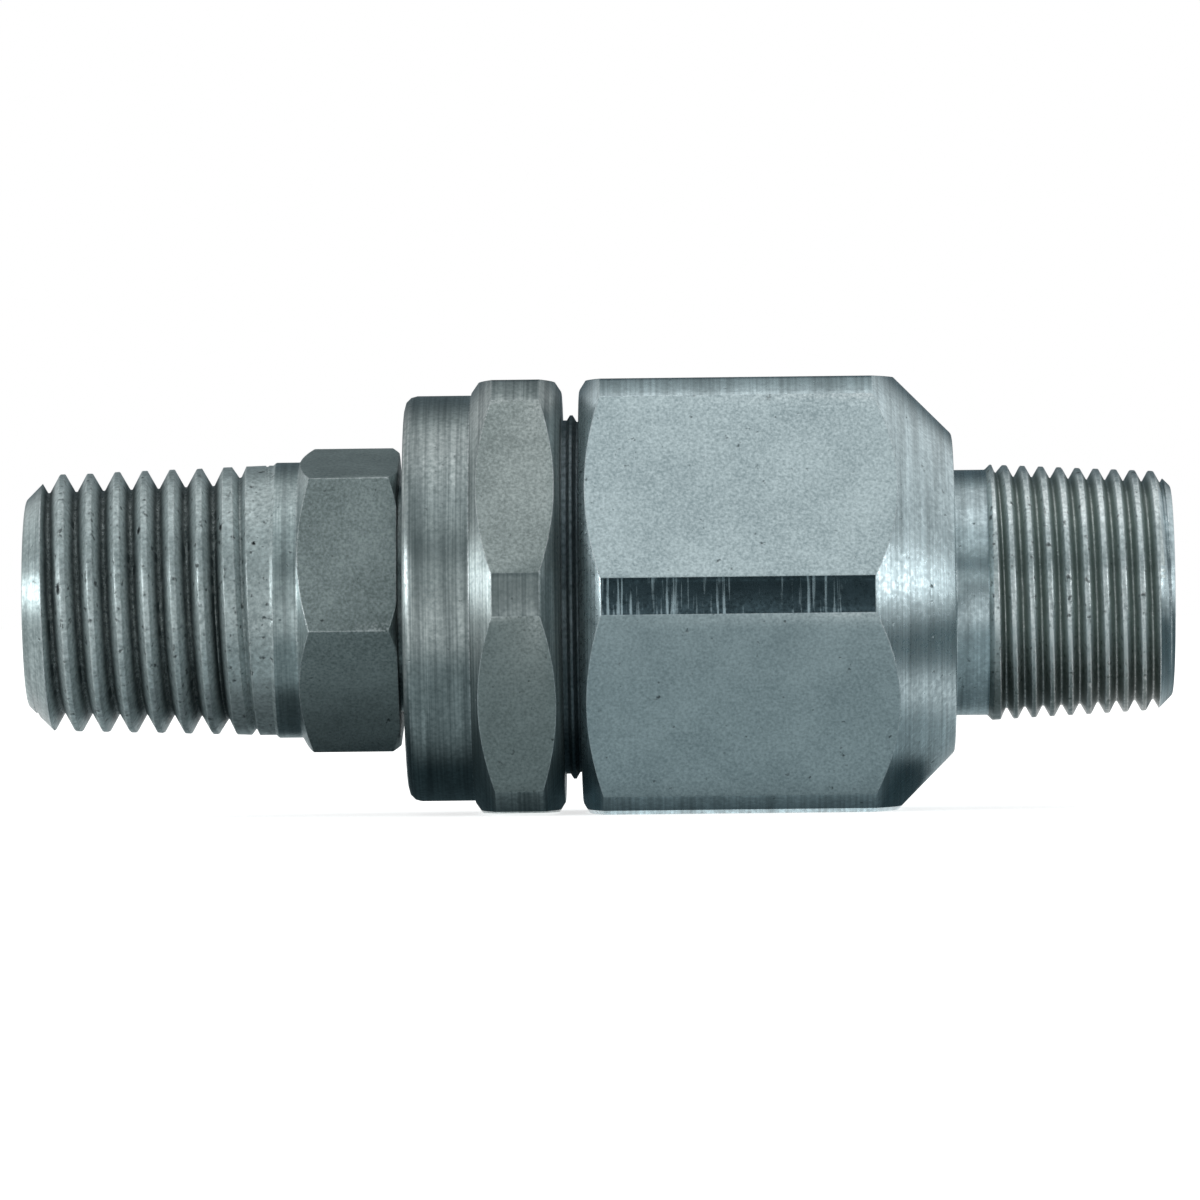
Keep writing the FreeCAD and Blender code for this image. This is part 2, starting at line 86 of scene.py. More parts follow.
def add_node(tree, kind, sockets=None, **settings):
    """Adds a node with its settings, and puts values or other nodes' outputs into its sockets."""
    added = tree.nodes.new(kind)
    for name, value in settings.items():
        setattr(added, name, value)
    for key, value in (sockets or {}).items():
        if isinstance(value, bpy.types.NodeSocket):
            tree.links.new(value, added.inputs[key])
        else:
            added.inputs[key].default_value = value
    return added


def new_material(name):
    """A material with nothing in it but its output."""
    material = bpy.data.materials.new(name)
    material.use_nodes = True
    tree = material.node_tree
    tree.nodes.clear()
    return material, tree, tree.nodes.new("ShaderNodeOutputMaterial")


def link_object(name, mesh):
    """A new object in the scene, with its mesh or lamp."""
    made = bpy.data.objects.new(name, mesh)
    bpy.context.scene.collection.objects.link(made)
    return made


def finished_mesh(name, bm):
    """The mesh of a finished bmesh, which is freed."""
    mesh = bpy.data.meshes.new(name)
    bm.to_mesh(mesh)
    bm.free()
    return mesh


TABLE_HALF = 4.0
PAPER_GLOW = 0.7
table_height = cad_box[0].z
bm = bmesh.new()
bmesh.ops.create_grid(bm, x_segments=1, y_segments=1, size=TABLE_HALF,
                      matrix=Matrix.Translation((0, 0, table_height)))
white_paper = link_object("white_paper", finished_mesh("white_paper", bm))
paper, tree, output = new_material("matt_white_paper")
place = add_node(tree, "ShaderNodeTexCoord").outputs["Object"]
fibres = add_node(tree, "ShaderNodeTexNoise", {"Vector": place, "Scale": 0.4 / MM, "Detail": 4.0})
shade = add_node(tree, "ShaderNodeMix", {"Factor": fibres.outputs["Fac"], 6: linear("#f3f4f4"),
                                         7: linear("#f8f9f9")}, data_type="RGBA")
matt = add_node(tree, "ShaderNodeBsdfDiffuse", {"Color": shade.outputs[2]})
glow = add_node(tree, "ShaderNodeEmission", {"Color": linear("#ffffff"), "Strength": PAPER_GLOW})
rays = add_node(tree, "ShaderNodeLightPath")
seen = add_node(tree, "ShaderNodeMath", {0: rays.outputs["Is Camera Ray"], 1: rays.outputs["Is Glossy Ray"]},
                operation="MAXIMUM")
seen = add_node(tree, "ShaderNodeMath", {0: seen.outputs[0], 1: rays.outputs["Is Transmission Ray"]},
                operation="MAXIMUM")
lit = add_node(tree, "ShaderNodeAddShader", {0: matt.outputs[0], 1: glow.outputs[0]})
both = add_node(tree, "ShaderNodeMixShader", {0: seen.outputs[0], 1: matt.outputs[0], 2: lit.outputs[0]})
tree.links.new(both.outputs[0], output.inputs["Surface"])
white_paper.data.materials.append(paper)


# The studio: a white room with one wide soft box overhead, a little to the front, and a small one
# beyond each end, low down, which lights the turned edges and the cone.
ROOM_LIGHT = 0.6
world = bpy.data.worlds.new("white_room")
bpy.context.scene.world = world
world.use_nodes = True
tree = world.node_tree
tree.nodes.clear()
rays = add_node(tree, "ShaderNodeLightPath")
seen = add_node(tree, "ShaderNodeMath", {0: rays.outputs["Is Camera Ray"], 1: rays.outputs["Is Glossy Ray"]},
                operation="MAXIMUM")
seen = add_node(tree, "ShaderNodeMath", {0: seen.outputs[0], 1: rays.outputs["Is Transmission Ray"]},
                operation="MAXIMUM")
room = add_node(tree, "ShaderNodeBackground", {"Color": linear("#ffffff"), "Strength": ROOM_LIGHT})
white = add_node(tree, "ShaderNodeBackground", {"Color": linear("#ffffff"), "Strength": 1.0})
both = add_node(tree, "ShaderNodeMixShader", {0: seen.outputs[0], 1: room.outputs[0], 2: white.outputs[0]})
tree.links.new(both.outputs[0], add_node(tree, "ShaderNodeOutputWorld").inputs["Surface"])

middle = (cad_box[0] + cad_box[1]) / 2
for name, place, width, watts in (("overhead", Vector((0.0, -0.34, 0.72)), 0.62, 0.55),
                                  ("beyond_body", Vector((0.66, -0.06, 0.05)), 0.16, 0.26),
                                  ("beyond_stem", Vector((-0.66, -0.08, 0.02)), 0.3, 2.4)):
    lamp = bpy.data.lights.new(name, "AREA")
    lamp.shape = "SQUARE"
    lamp.size = width
    lamp.energy = watts
    soft_box = link_object(name, lamp)
    soft_box.location = middle + place
    soft_box.rotation_euler = (-place).to_track_quat("-Z", "Y").to_euler()


# The grey cloths: one hangs round the fitting like a tent that is open at the top, and one lies
# under it. Only the metal's reflections see them. They are not lit but glow with painted tones, so
# the dark streaks they give bare steel are painted reflections, and the tent is darkest round the lens.
TENT_REACH = 1.15
TENT_TOP = math.radians(64)
TENT_STEPS = 12
bm = bmesh.new()
rim = [bm.verts.new((TENT_REACH * math.cos(TENT_TOP * step / TENT_STEPS), 0,
                     TENT_REACH * math.sin(TENT_TOP * step / TENT_STEPS))) for step in range(TENT_STEPS + 1)]
for low, high in zip(rim, rim[1:]):
    bm.edges.new((low, high))
bmesh.ops.spin(bm, geom=bm.verts[:] + bm.edges[:], cent=(0, 0, 0), axis=(0, 0, 1), angle=math.tau,
               steps=64, use_merge=True)
bmesh.ops.translate(bm, verts=bm.verts[:], vec=(middle.x, 0, table_height))
tent = link_object("grey_tent", finished_mesh("grey_tent", bm))

# Grey cotton that is not lit but glows with painted tones: each part of it shows the metal its own
# plain tone.
cloth, tree, output = new_material("grey_cloth")
place = add_node(tree, "ShaderNodeTexCoord").outputs["Object"]
centred = add_node(tree, "ShaderNodeVectorMath", {0: place, 1: (middle.x, 0, table_height)},
                   operation="SUBTRACT").outputs[0]
way = add_node(tree, "ShaderNodeVectorMath", {0: centred}, operation="NORMALIZE").outputs[0]
way = add_node(tree, "ShaderNodeSeparateXYZ", {0: way})
sideways = add_node(tree, "ShaderNodeMath", {0: way.outputs["X"]}, operation="ABSOLUTE").outputs[0]
ends, rear, lens_side, shade_band_start, shade_band_end, high = [
    add_node(tree, "ShaderNodeMapRange", {"Value": value, "From Min": start, "From Max": end},
             interpolation_type="SMOOTHSTEP").outputs[0]
    for value, start, end in ((sideways, 0.2, 0.6), (way.outputs["Y"], 0.25, 0.85),
                              (way.outputs["Y"], -0.962, -0.992), (way.outputs["Z"], 0.28, 0.38),
                              (way.outputs["Z"], 0.62, 0.5), (way.outputs["Z"], 0.5, 0.8))]
sides = add_node(tree, "ShaderNodeMath", {0: ends, 1: -1.0, 2: 1.0}, operation="MULTIPLY_ADD").outputs[0]
front = add_node(tree, "ShaderNodeMapRange", {"Value": way.outputs["Y"], "From Min": 0.1,
                                              "From Max": -0.1}).outputs[0]
shade = add_node(tree, "ShaderNodeMix", {"Factor": ends, 6: linear("#d8dfdf"), 7: linear("#fbfcfc")},
                 data_type="RGBA").outputs[2]
# Painted tones: dark behind and round the lens, a painted mid grey band low in front, paler grey higher up in
# front
for shares, tone in (((rear, sides), "#56646a"), ((lens_side,), "#4d595c"),
                     ((shade_band_start, shade_band_end, front), "#869194"), ((high, front), "#a9b2b4")):
    share = shares[0]
    for other in shares[1:]:
        share = add_node(tree, "ShaderNodeMath", {0: share, 1: other}, operation="MULTIPLY").outputs[0]
    shade = add_node(tree, "ShaderNodeMix", {"Factor": share, 6: shade, 7: linear(tone)},
                     data_type="RGBA").outputs[2]
glow = add_node(tree, "ShaderNodeEmission", {"Color": shade, "Strength": 1.0})
tree.links.new(glow.outputs[0], output.inputs["Surface"])
tent.data.materials.append(cloth)

CLOTH_LIFT = 0.2 * MM
SHADE_MIDDLE = 27 * MM
SHADE_HALF = 19.4 * MM
SHADE_HASTE = 2.6
bm = bmesh.new()
bmesh.ops.create_circle(bm, cap_ends=True, segments=64, radius=TENT_REACH,
                        matrix=Matrix.Translation((middle.x, 0, table_height + CLOTH_LIFT)))
under_cloth = link_object("under_cloth", finished_mesh("under_cloth", bm))
# The same cotton, glowing with a painted shadow: dark close under the fitting's nut and body, where
# no light reaches it, and lighter away from them, with a painted dark band beyond the body's far end.
# The shade ends faster along the fitting than across it.
cloth, tree, output = new_material("grey_cloth_with_shade")
place = add_node(tree, "ShaderNodeTexCoord").outputs["Object"]
beyond = place
for operation, sizes in (("SUBTRACT", (SHADE_MIDDLE, 0, 0)), ("ABSOLUTE", (0, 0, 0)),
                         ("SUBTRACT", (SHADE_HALF, 0, 1)), ("MAXIMUM", (0, 0, 0)),
                         ("MULTIPLY", (SHADE_HASTE, 1, 1))):
    beyond = add_node(tree, "ShaderNodeVectorMath", {0: beyond, 1: sizes}, operation=operation).outputs[0]
distance = add_node(tree, "ShaderNodeVectorMath", {0: beyond}, operation="LENGTH").outputs["Value"]
along = add_node(tree, "ShaderNodeSeparateXYZ", {0: place}).outputs["X"]
near, far, shade_band_start, shade_band_end = [
    add_node(tree, "ShaderNodeMapRange", {"Value": value, "From Min": start * MM, "From Max": end * MM},
             interpolation_type="SMOOTHSTEP").outputs[0]
    for value, start, end in ((distance, 4.5, 9), (distance, 18, 30), (along, 59, 68), (along, 150, 110))]
# A painted dark band beyond the body's far end
shade_band = add_node(tree, "ShaderNodeMath", {0: shade_band_start, 1: shade_band_end}, operation="MULTIPLY").outputs[0]
shade = linear("#344348")
for share, tone in ((near, "#a1adb0"), (far, "#f4f6f6"), (shade_band, "#5f6e72")):
    shade = add_node(tree, "ShaderNodeMix", {"Factor": share, 6: shade, 7: linear(tone)},
                     data_type="RGBA").outputs[2]
glow = add_node(tree, "ShaderNodeEmission", {"Color": shade, "Strength": 1.0})
tree.links.new(glow.outputs[0], output.inputs["Surface"])
under_cloth.data.materials.append(cloth)
for piece in (tent, under_cloth):
    for ray in ("camera", "diffuse", "transmission", "volume_scatter", "shadow"):
        setattr(piece, f"visible_{ray}", False)


# The stem: one piece turned from hexagon bar. Its outer end carries a coarse tapered pipe thread,
# cut on the lathe, and its hexagon keeps the bar's own flats. The long shaft inside the body
# carries two ball tracks and the groove of the pressure seal.
def bare_steel(name, colour, stain, roughness, grain, rings=None, thread=None, worn="#dfe6e8", edge=0.1,
               dull=0.0, scratch=None, pits=(), underside_darkening=0.0):
    """Bare cut steel, with all its sizes in millimetres.

    grain is the size and the depth of its grain, and rings are the pitch, the depth and the darkness
    of the marks that the lathe tool left. thread is the crests' radius at the origin, how it grows
    along the axis, the thread's depth, the share of that depth below the crests which keeps its full
    colour, and the colour of painted shade together with old oil towards the roots. underside_darkening
    is how much the colour darkens towards its underside. Edges are rounded over a width of edge and
    rubbed to the colour worn. dull is the share that oil and wear have left without gloss, scratch the
    colour of turned scratches, and pits the places and sizes of deep, dirty pits.
    """
    material, tree, output = new_material(name)
    place = add_node(tree, "ShaderNodeTexCoord").outputs["Object"]
    place = add_node(tree, "ShaderNodeVectorMath", {0: place, "Scale": 1 / MM}, operation="SCALE").outputs[0]
    along = add_node(tree, "ShaderNodeSeparateXYZ", {0: place}).outputs["X"]
    across = add_node(tree, "ShaderNodeVectorMath", {0: place, 1: (0, 1, 1)}, operation="MULTIPLY").outputs[0]
    radius = add_node(tree, "ShaderNodeVectorMath", {0: across}, operation="LENGTH").outputs["Value"]

    # Uneven colour: fine grain, soft blotches of about 3 mm, and dark pits of about 0.4 mm
    grain_size, grain_depth = grain
    fine = add_node(tree, "ShaderNodeTexNoise", {"Vector": place, "Scale": 1 / grain_size, "Detail": 3.0,
                                                 "Roughness": 0.6}).outputs["Fac"]
    blotch = add_node(tree, "ShaderNodeTexNoise", {"Vector": place, "Scale": 0.35, "Detail": 4.0,
                                                   "Roughness": 0.65}).outputs["Fac"]
    mottle = add_node(tree, "ShaderNodeMath", {0: blotch, 1: 0.5, 2: fine},
                      operation="MULTIPLY_ADD").outputs[0]
    bright = add_node(tree, "ShaderNodeMapRange", {"Value": mottle, "From Min": 0.55,
                                                   "From Max": 0.95}).outputs[0]
    shade = add_node(tree, "ShaderNodeMix", {"Factor": bright, 6: linear(stain), 7: linear(colour)},
                     data_type="RGBA").outputs[2]
    speck = add_node(tree, "ShaderNodeTexNoise", {"Vector": place, "Scale": 2.6,
                                                  "Detail": 2.0}).outputs["Fac"]
    least = 0.62 if thread else 0.7
    pit = add_node(tree, "ShaderNodeMapRange", {"Value": speck, "From Min": least, "From Max": least + 0.1,
                                                "To Max": 0.75}).outputs[0]
    shade = add_node(tree, "ShaderNodeMix", {"Factor": pit, 6: shade, 7: linear("#20282a")},
                     data_type="RGBA").outputs[2]
    height = add_node(tree, "ShaderNodeMath", {0: fine, 1: grain_depth}, operation="MULTIPLY").outputs[0]
    height = add_node(tree, "ShaderNodeMath", {0: pit, 1: -0.02, 2: height},
                      operation="MULTIPLY_ADD").outputs[0]

    # The tool's marks run round the axis, fine ones and some five times as coarse. They depend on the
    # place along the axis and the radius, and change slowly on the way round
    if rings:
        ring_pitch, ring_depth, ring_shade = rings
        heading = add_node(tree, "ShaderNodeVectorMath", {0: across}, operation="NORMALIZE").outputs[0]
        heading = add_node(tree, "ShaderNodeSeparateXYZ", {0: heading})
        turned = add_node(tree, "ShaderNodeCombineXYZ", {"Z": heading.outputs["Y"]}).outputs[0]
        for coarser in (1, 5):
            profile = add_node(tree, "ShaderNodeCombineXYZ", {"X": along, "Y": radius}).outputs[0]
            profile = add_node(tree, "ShaderNodeVectorMath", {0: profile, "Scale": 1 / ring_pitch / coarser},
                               operation="SCALE").outputs[0]
            profile = add_node(tree, "ShaderNodeVectorMath", {0: profile, 1: turned},
                               operation="ADD").outputs[0]
            marks = add_node(tree, "ShaderNodeTexNoise", {"Vector": profile, "W": heading.outputs["Z"],
                                                          "Scale": 1.0, "Detail": 1.0},
                             noise_dimensions="4D").outputs["Fac"]
            height = add_node(tree, "ShaderNodeMath", {0: marks, 1: ring_depth * coarser, 2: height},
                              operation="MULTIPLY_ADD").outputs[0]
            mark = add_node(tree, "ShaderNodeMapRange", {"Value": marks, "From Min": 0.35, "From Max": 0.6,
                                                         "To Min": ring_shade, "To Max": 0.0}).outputs[0]
            shade = add_node(tree, "ShaderNodeMix", {"Factor": mark, 6: shade, 7: linear("#4d595b")},
                             data_type="RGBA").outputs[2]

    # Painted shade together with old oil darkens the thread's roots
    if thread:
        crest_radius, growth, depth, full_colour_share, shade_and_oil_tone = thread
        crest = add_node(tree, "ShaderNodeMath", {0: along, 1: growth, 2: crest_radius},
                         operation="MULTIPLY_ADD").outputs[0]
        below = add_node(tree, "ShaderNodeMath", {0: crest, 1: radius}, operation="SUBTRACT").outputs[0]
        below = add_node(tree, "ShaderNodeMath", {0: blotch, 1: 0.4 * depth, 2: below},
                         operation="MULTIPLY_ADD").outputs[0]
        shade_and_oil = add_node(tree, "ShaderNodeMapRange", {"Value": below, "From Min": full_colour_share * depth,
                                                     "From Max": (full_colour_share + 0.45) * depth}).outputs[0]
        shade = add_node(tree, "ShaderNodeMix", {"Factor": shade_and_oil, 6: shade, 7: linear(shade_and_oil_tone)},
                         data_type="RGBA").outputs[2]
    # The colour darkens towards the underside
    if underside_darkening:
        low = add_node(tree, "ShaderNodeSeparateXYZ", {0: place}).outputs["Z"]
        low = add_node(tree, "ShaderNodeMath", {0: low, 1: radius}, operation="DIVIDE").outputs[0]
        low = add_node(tree, "ShaderNodeMath", {0: fine, 1: -0.9, 2: low},
                       operation="MULTIPLY_ADD").outputs[0]
        low = add_node(tree, "ShaderNodeMapRange", {"Value": low, "From Min": -0.75,
                                                    "From Max": -1.2}).outputs[0]
        low = add_node(tree, "ShaderNodeMath", {0: low, 1: underside_darkening}, operation="MULTIPLY").outputs[0]
        shade = add_node(tree, "ShaderNodeMix", {"Factor": low, 6: shade, 7: linear("#39433f")},
                         data_type="RGBA").outputs[2]

    # Deep pits with ragged rims
    for x, y, z, size in pits:
        away = add_node(tree, "ShaderNodeVectorMath", {0: place, 1: (x, y, z)},
                        operation="DISTANCE").outputs["Value"]
        away = add_node(tree, "ShaderNodeMath", {0: fine, 1: 0.6 * size, 2: away},
                        operation="MULTIPLY_ADD").outputs[0]
        pit = add_node(tree, "ShaderNodeMapRange", {"Value": away, "From Min": 1.2 * size,
                                                    "From Max": 0.7 * size}).outputs[0]
        shade = add_node(tree, "ShaderNodeMix", {"Factor": pit, 6: shade, 7: linear("#1b2325")},
                         data_type="RGBA").outputs[2]
        height = add_node(tree, "ShaderNodeMath", {0: pit, 1: -0.08, 2: height},
                          operation="MULTIPLY_ADD").outputs[0]

    # Scratches round the axis, about 0.15 mm apart where they crowd together every 2 mm or so
    if scratch:
        lines = add_node(tree, "ShaderNodeVectorMath", {0: place, 1: (1, 0.06, 0.06)},
                         operation="MULTIPLY").outputs[0]
        line = add_node(tree, "ShaderNodeTexNoise", {"Vector": lines, "Scale": 6.0,
                                                     "Detail": 2.0}).outputs["Fac"]
        crowd = add_node(tree, "ShaderNodeTexNoise", {"Vector": lines, "Scale": 0.45,
                                                      "Detail": 0.0}).outputs["Fac"]
        for part, share in ((crowd, 0.5), (fine, 0.15)):
            line = add_node(tree, "ShaderNodeMath", {0: part, 1: share, 2: line},
                            operation="MULTIPLY_ADD").outputs[0]
        line = add_node(tree, "ShaderNodeMapRange", {"Value": line, "From Min": 0.91,
                                                     "From Max": 1.07}).outputs[0]
        shade = add_node(tree, "ShaderNodeMix", {"Factor": line, 6: shade, 7: linear(scratch)},
                         data_type="RGBA").outputs[2]

    # Rounded edges, rubbed bright in places
    rounded = add_node(tree, "ShaderNodeBevel", {"Radius": edge * MM}, samples=4).outputs[0]
    true_normal = add_node(tree, "ShaderNodeNewGeometry").outputs["True Normal"]
    match = add_node(tree, "ShaderNodeVectorMath", {0: rounded, 1: true_normal},
                     operation="DOT_PRODUCT").outputs["Value"]
    rub = add_node(tree, "ShaderNodeMapRange", {"Value": match, "From Min": 0.985,
                                                "From Max": 0.93}).outputs[0]
    rub = add_node(tree, "ShaderNodeMath", {0: rub, 1: bright}, operation="MULTIPLY").outputs[0]
    shade = add_node(tree, "ShaderNodeMix", {"Factor": rub, 6: shade, 7: linear(worn)},
                     data_type="RGBA").outputs[2]

    # Marks that run round the axis spread a highlight along it
    rough = add_node(tree, "ShaderNodeMapRange", {"Value": fine, "From Min": 0.3, "From Max": 0.7,
                                                  "To Min": roughness + 0.08,
                                                  "To Max": roughness - 0.06}).outputs[0]
    normal = add_node(tree, "ShaderNodeBump", {"Height": height, "Distance": MM,
                                               "Normal": rounded}).outputs[0]
    surface = add_node(tree, "ShaderNodeBsdfPrincipled", {"Base Color": shade, "Metallic": 1.0 - dull,
                                                          "Roughness": rough, "Normal": normal})
    if rings or thread:
        spot = add_node(tree, "ShaderNodeNewGeometry")
        round_axis = add_node(tree, "ShaderNodeVectorMath", {0: (1, 0, 0), 1: spot.outputs["Position"]},
                              operation="CROSS_PRODUCT").outputs[0]
        lengthwise = add_node(tree, "ShaderNodeVectorMath", {0: spot.outputs["Normal"], 1: round_axis},
                              operation="CROSS_PRODUCT").outputs[0]
        tree.links.new(lengthwise, surface.inputs["Tangent"])
        surface.inputs["Anisotropic"].default_value = 0.7
    tree.links.new(surface.outputs[0], output.inputs["Surface"])
    return material


ROUND_STEPS = 240


def lathe(bm, outline):
    """Turns a closed outline once round the X axis.

    A point of it is its place along the axis, its radius and how much its corner is rounded, in
    millimetres. The last of them may be left out.
    """
    verts = [bm.verts.new((point[0] * MM, point[1] * MM, 0)) for point in outline]
    for start, end in zip(verts, verts[1:] + verts[:1]):
        bm.edges.new((start, end))
    for vert, point in zip(verts, outline):
        if len(point) > 2:
            bmesh.ops.bevel(bm, geom=[vert], offset=point[2] * MM, offset_type="OFFSET", segments=3,
                            profile=0.5, affect="VERTICES", clamp_overlap=True, material=-1)
    bmesh.ops.spin(bm, geom=bm.verts[:] + bm.edges[:], cent=(0, 0, 0), axis=(1, 0, 0),
                   angle=math.tau, steps=ROUND_STEPS, use_merge=True)
    bmesh.ops.remove_doubles(bm, verts=bm.verts[:], dist=1e-7)
    bmesh.ops.recalc_face_normals(bm, faces=bm.faces[:])


def cut_flats(bm, flat_radius, turn):
    """Leaves a hexagon bar's six flats on a turned shape. Their faces take the second material."""
    for step in range(6):
        angle = math.radians(turn + 60 * step)
        normal = Vector((0, math.sin(angle), math.cos(angle)))
        cut = bmesh.ops.bisect_plane(bm, geom=bm.verts[:] + bm.edges[:] + bm.faces[:],
                                     plane_co=normal * flat_radius * MM, plane_no=normal,
                                     clear_outer=True, dist=1e-8)
        rim = [item for item in cut["geom_cut"] if isinstance(item, bmesh.types.BMEdge)]
        for face in bmesh.ops.edgeloop_fill(bm, edges=rim)["faces"]:
            face.material_index = 1
    bmesh.ops.recalc_face_normals(bm, faces=bm.faces[:])


THREAD_STEPS = 120


def thread_groove(crest, growth, depth, mouth, root, pitch, turns, run_out, start_x, start_turn, inward):
    """The space that a thread's groove takes out of a piece, as a mesh.

    The crests have the radius crest at the origin, and it grows along the axis. The groove starts
    off the open end, at start_x, and runs inward. Over its last turns, run_out of them, it rises
    out of the metal. The root is rounded, and the flanks flare out at the crests, whose edges a die
    leaves rounded.
    """
    start_radius = round(crest + growth * start_x - depth, 4)
    bm = bmesh.new()
    flare = 0.06
    half = [(mouth / 2 + 0.03, depth + 0.4), (mouth / 2 + 0.03, depth + 0.012), (mouth / 2, depth),
            (mouth / 2 - 0.035, depth - 0.022), (mouth / 2 - flare, depth - 0.065), (root / 2, 0.02),
            (root / 4, 0)]
    shape = [(-across, up) for across, up in half] + [(across, up) for across, up in reversed(half)]
    profile = bm.faces.new([bm.verts.new((across * MM, (start_radius + up) * MM, 0)) for across, up in shape])
    bmesh.ops.rotate(bm, verts=bm.verts[:], cent=(0, 0, 0),
                     matrix=Matrix.Rotation(math.radians(start_turn), 3, "X"))
    steps = round(THREAD_STEPS * turns)
    bmesh.ops.spin(bm, geom=[profile, *profile.edges, *profile.verts], cent=(0, 0, 0), axis=(1, 0, 0),
                   dvec=(inward * pitch * turns * MM / steps, 0, 0), angle=inward * math.tau * turns,
                   steps=steps)
    for vert in bm.verts:
        travel = inward * vert.co.x
        radius = math.hypot(vert.co.y, vert.co.z)
        rise = max(0.0, (travel / (pitch * MM) - turns + run_out) / run_out) * depth * MM
        grown = 1 + (growth * inward * travel + rise) / radius
        vert.co.y *= grown
        vert.co.z *= grown
    bmesh.ops.translate(bm, verts=bm.verts[:], vec=(start_x * MM, 0, 0))
    bmesh.ops.recalc_face_normals(bm, faces=bm.faces[:])
    return finished_mesh("thread_groove", bm)


def cut_away(mesh, tool_mesh):
    """The mesh with the tool's space taken out of it."""
    piece, tool = link_object("piece", mesh), link_object("tool", tool_mesh)
    cut = piece.modifiers.new("cut", "BOOLEAN")
    cut.operation = "DIFFERENCE"
    cut.solver = "EXACT"
    cut.object = tool
    graph = bpy.context.evaluated_depsgraph_get()
    result = bpy.data.meshes.new_from_object(piece.evaluated_get(graph))
    bpy.data.objects.remove(piece)
    bpy.data.objects.remove(tool)
    return result


def wear_thread(mesh, start, end, least_radius, depth):
    """Gives a thread's faces the third material, and wears its crests unevenly by up to a depth."""
    for face in mesh.polygons:
        x, radius = face.center.x / MM, math.hypot(face.center.y, face.center.z) / MM
        if start < x < end and radius > least_radius:
            face.material_index = 2
    for vert in mesh.vertices:
        radius = math.hypot(vert.co.y, vert.co.z)
        if start < vert.co.x / MM < end and radius / MM > least_radius:
            worn = 1 - max(0.0, noise.noise(vert.co / MM * 1.7)) * depth * MM / radius
            vert.co.y *= worn
            vert.co.z *= worn


def finish_edges(mesh, sharp=32):
    """Smooth shading, except across edges sharper than an angle in degrees."""
    mesh.shade_smooth()
    mesh.set_sharp_from_angle(angle=math.radians(sharp))


STEM_BORE, STEM_SHAFT = 3.175, 5.8
STEM_FLAT = 7.14375
STEM_CORNER = round(STEM_FLAT / math.cos(math.radians(30)), 4)
STEM_CREST, STEM_GROWTH = 6.56, 0.03125
STEM_PITCH, STEM_DEPTH = 1.4111, 0.93
STEM_LEAD = 0.8087
STEM_MOUTH = 1.3
STEM_THREAD_END = 12.75
NECK_STEP = 0.13
SPANNER_START, SPANNER_END = 14.11, 19.2
BALL_ROWS = (35.68, 39.58)
TRACK_CENTRE, TRACK_RADIUS = 5.875, 1.6175
SEAL_START, SEAL_END, SEAL_FLOOR = 42.43, 45.43, 4.43
STEM_END, TAIL_CHAMFER = 46.03, 0.3


def ball_track(row):
    """The points of a ball track's arc across the shaft's surface, along the axis."""
    half = math.acos((STEM_SHAFT - TRACK_CENTRE) / TRACK_RADIUS)
    count = 10
    turns = [half + (math.tau - 2 * half) * index / count for index in range(count + 1)]
    return [(row - TRACK_RADIUS * math.sin(turn), TRACK_CENTRE + TRACK_RADIUS * math.cos(turn))
            for turn in turns]


mouth_crest = round(STEM_CREST + STEM_GROWTH * STEM_MOUTH, 4)
end_crest = round(STEM_CREST + STEM_GROWTH * STEM_THREAD_END, 4)
stem_outline = [
    (0, STEM_BORE, 0.12), (0, mouth_crest - STEM_MOUTH, 0.1), (STEM_MOUTH, mouth_crest, 0.04),
    (STEM_THREAD_END, end_crest, 0.03), (STEM_THREAD_END + NECK_STEP, end_crest + NECK_STEP, 0.05),
    (SPANNER_START, end_crest + NECK_STEP, 0.05), (SPANNER_START + 0.64, STEM_CORNER, 0.04),
    (SPANNER_END - 0.4, STEM_CORNER, 0.04), (SPANNER_END, 7.6, 0.05),
    (SPANNER_END, STEM_SHAFT), *[point for row in BALL_ROWS for point in ball_track(row)],
    (SEAL_START, STEM_SHAFT), (SEAL_START, SEAL_FLOOR, 0.15), (SEAL_END, SEAL_FLOOR, 0.15),
    (SEAL_END, STEM_SHAFT), (STEM_END - TAIL_CHAMFER, STEM_SHAFT), (STEM_END, STEM_SHAFT - TAIL_CHAMFER),
    (STEM_END, STEM_BORE, 0.1)]
bm = bmesh.new()
lathe(bm, stem_outline)
cut_flats(bm, STEM_FLAT, -11.3)
stem_mesh = finished_mesh("stem_steel", bm)
# Turned steel: soft grey, with fine rings, dulled a little by old oil.
stem_mesh.materials.append(bare_steel(
    "turned_stem_steel", "#b7c6c7", "#8f9d9e", 0.34, grain=(0.2, 0.004), rings=(0.13, 0.006, 0.35), dull=0.1))
# The bar's own drawn skin: darker and duller, with an even grain and no rings.
stem_mesh.materials.append(bare_steel(
    "drawn_bar_stem_steel", "#99a5a5", "#6e7a7a", 0.46, grain=(0.15, 0.01), dull=0.1))
